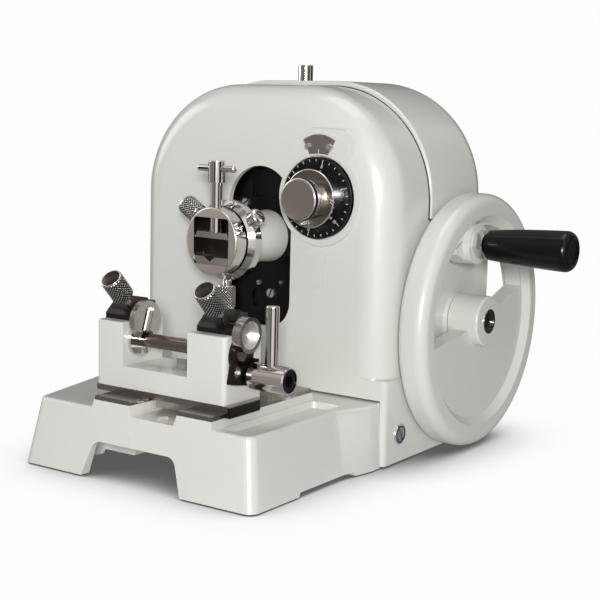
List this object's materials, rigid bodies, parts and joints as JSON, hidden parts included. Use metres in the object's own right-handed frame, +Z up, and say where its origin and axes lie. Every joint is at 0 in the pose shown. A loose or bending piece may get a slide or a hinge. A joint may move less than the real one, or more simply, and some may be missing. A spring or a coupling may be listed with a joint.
{
  "type": "rotary microtome",
  "caption": "Rotary microtome: handwheel drives a vertical slide with a specimen clamp past a knife block on a cast base, under a hinged rear hood.",
  "frame": {"origin": "on the bench under the middle of the whole footprint", "axes": "+X to the handwheel side, +Y to the back away from the specimen clamp, +Z up"},
  "size_m": [0.375, 0.3895, 0.323],
  "materials": {
    "enamel": "gloss stove enamel",
    "black_enamel": "gloss black enamel",
    "rubber": "matt",
    "ground_steel": "ground",
    "chrome": "bright chrome plate",
    "bright_screws": "bright",
    "knurled_chrome": "chrome over cross knurls",
    "mechanism_iron": "machined cast iron",
    "brass": "turned",
    "black_steel": "blackened",
    "black_plastic": "moulded gloss",
    "dial_face": "gloss black with engraved white marks",
    "blackened_iron": "blackened and oiled"
  },
  "bodies": {
    "stand": {"base_casting": "enamel", "rubber_pads": "rubber", "bed_rails": "ground_steel", "housing": "enamel", "side_plug": "chrome", "index_plate": "ground_steel", "index_screws": "bright_screws", "hinge_pins": "ground_steel", "guide_frame": "mechanism_iron", "bearing_pedestal": "mechanism_iron", "bronze_bushes": "brass"},
    "rear_hood": {"hood": "enamel", "lift_pin": "chrome"},
    "carriage": {"vertical_slide": "blackened_iron", "slide_cover": "black_enamel", "slide_screws": "bright_screws", "crank_yoke": "mechanism_iron", "feed_sleeve": "mechanism_iron"},
    "arm": {"specimen_arm": "enamel"},
    "feed_drive": {"feed_screw": "ground_steel", "ratchet_wheel": "brass"},
    "rocker": {"pawl_rocker": "ground_steel"},
    "ball": {"tilt_ball": "ground_steel"},
    "head": {"clamp_head": "chrome", "lower_jaw": "ground_steel"},
    "moving_jaw": {"upper_jaw": "ground_steel"},
    "tee_screw": {"clamp_screw": "chrome", "cross_pin": "chrome"},
    "left_tilt_screw": {"tilt_screw_left": "knurled_chrome"},
    "low_tilt_screw": {"tilt_screw_low": "knurled_chrome"},
    "right_tilt_screw": {"tilt_screw_right": "chrome"},
    "drive": {"drive_shaft": "ground_steel", "crank_disc": "mechanism_iron", "handwheel": "enamel", "hub_ring": "chrome", "hub_bolt": "black_steel", "handle_spindle": "chrome"},
    "roller": {"crank_roller": "ground_steel"},
    "grip": {"handle_grip": "black_plastic"},
    "dial": {"dial_disc": "dial_face", "dial_collar": "chrome", "dial_knob": "ground_steel", "dial_shaft": "ground_steel", "thickness_cam": "ground_steel"},
    "block": {"knife_block": "enamel", "sole_plate": "ground_steel", "block_gib": "black_steel", "tie_bar": "chrome", "tie_collar": "chrome", "lever_bracket": "black_steel"},
    "cradle": {"knife_brackets": "black_steel", "seat_disc": "ground_steel", "seat_jaw": "ground_steel", "seat_ring": "ground_steel"},
    "left_knife_screw": {"knife_screw_left": "knurled_chrome"},
    "right_knife_screw": {"knife_screw_right": "knurled_chrome"},
    "lever": {"lever_barrel": "chrome", "lever_socket": "black_plastic", "lever_rod": "chrome"},
    "clamp": {"block_clamp": "chrome"}
  },
  "joints": [
    {"name": "hood_hinge", "type": "hinge", "parent": "stand", "child": "rear_hood", "pos_m": [-0.0455, 0.1517, 0.1978], "axis": [-1, 0, 0], "range_deg": [0, 85]},
    {"name": "carriage_slide", "type": "slide", "parent": "stand", "child": "carriage", "axis": [0, 0, 1], "range_m": [-0.0385, 0.0215]},
    {"name": "feed_screw_turn", "type": "hinge", "parent": "carriage", "child": "feed_drive", "pos_m": [-0.051, 0.0297, 0.179], "axis": [0, -1, 0], "range_deg": [0, 20160]},
    {"name": "arm_feed", "type": "slide", "parent": "carriage", "child": "arm", "axis": [0, -1, 0], "range_m": [0, 0.028]},
    {"name": "rocker_swing", "type": "hinge", "parent": "carriage", "child": "rocker", "pos_m": [-0.051, 0.0677, 0.179], "axis": [0, 1, 0], "range_deg": [-12, 12]},
    {"name": "ball_yaw", "type": "hinge", "parent": "arm", "child": "ball", "pos_m": [-0.051, -0.0673, 0.179], "axis": [0, 0, 1], "range_deg": [-3, 13]},
    {"name": "head_pitch", "type": "hinge", "parent": "ball", "child": "head", "pos_m": [-0.051, -0.0673, 0.179], "axis": [0.9962, -0.0872, 0], "range_deg": [-8, 8]},
    {"name": "jaw_slide", "type": "slide", "parent": "head", "child": "moving_jaw", "axis": [0, 0, 1], "range_m": [-0.0145, 0.011]},
    {"name": "tee_screw_turn", "type": "hinge", "parent": "moving_jaw", "child": "tee_screw", "pos_m": [-0.05272, -0.08693, 0.2], "axis": [0, 0, 1], "range_deg": [-4176, 3168]},
    {"name": "tilt_screw_left_turn", "type": "hinge", "parent": "head", "child": "left_tilt_screw", "pos_m": [-0.05157, -0.07378, 0.179], "axis": [-0.8627, 0.0755, 0.5], "range_deg": [-180, 180]},
    {"name": "tilt_screw_low_turn", "type": "hinge", "parent": "head", "child": "low_tilt_screw", "pos_m": [-0.05157, -0.07378, 0.179], "axis": [0, 0, -1], "range_deg": [-180, 180]},
    {"name": "tilt_screw_right_turn", "type": "hinge", "parent": "head", "child": "right_tilt_screw", "pos_m": [-0.05157, -0.07378, 0.179], "axis": [0.8355, -0.0731, 0.5446], "range_deg": [-180, 180]},
    {"name": "wheel_turn", "type": "hinge", "parent": "stand", "child": "drive", "pos_m": [0.0545, 0.0867, 0.1105], "axis": [1, 0, 0], "continuous": true},
    {"name": "roller_spin", "type": "hinge", "parent": "drive", "child": "roller", "pos_m": [-0.0185, 0.11547, 0.119], "axis": [1, 0, 0], "continuous": true},
    {"name": "grip_spin", "type": "hinge", "parent": "drive", "child": "grip", "pos_m": [0.1445, 0.06741, 0.17779], "axis": [1, 0, 0], "continuous": true},
    {"name": "dial_turn", "type": "hinge", "parent": "stand", "child": "dial", "pos_m": [0.0094, -0.0303, 0.215], "axis": [0, -1, 0], "range_deg": [0, 340]},
    {"name": "block_slide", "type": "slide", "parent": "stand", "child": "block", "axis": [0, 1, 0], "range_m": [-0.012, 0.025]},
    {"name": "knife_tilt", "type": "hinge", "parent": "block", "child": "cradle", "pos_m": [-0.0255, -0.1483, 0.12], "axis": [1, 0, 0], "range_deg": [-8, 8]},
    {"name": "knife_screw_left_turn", "type": "hinge", "parent": "cradle", "child": "left_knife_screw", "pos_m": [-0.0907, -0.14802, 0.13141], "axis": [0, -0.6884, 0.7254], "range_deg": [-180, 180]},
    {"name": "knife_screw_right_turn", "type": "hinge", "parent": "cradle", "child": "right_knife_screw", "pos_m": [0.0013, -0.14802, 0.13141], "axis": [0, -0.6884, 0.7254], "range_deg": [-180, 180]},
    {"name": "lever_turn", "type": "hinge", "parent": "block", "child": "lever", "pos_m": [0.0445, -0.1428, 0.089], "axis": [1, 0, 0], "range_deg": [-40, 40]},
    {"name": "block_clamp_turn", "type": "hinge", "parent": "block", "child": "clamp", "pos_m": [-0.0355, -0.1423, 0.086], "axis": [0, 0, 1], "range_deg": [-10, 20]}
  ],
  "couplings": [
    {"joint": "feed_screw_turn", "follows": "arm_feed", "rad_per_m": 12566},
    {"joint": "tee_screw_turn", "follows": "jaw_slide", "rad_per_m": 5026.5}
  ]
}
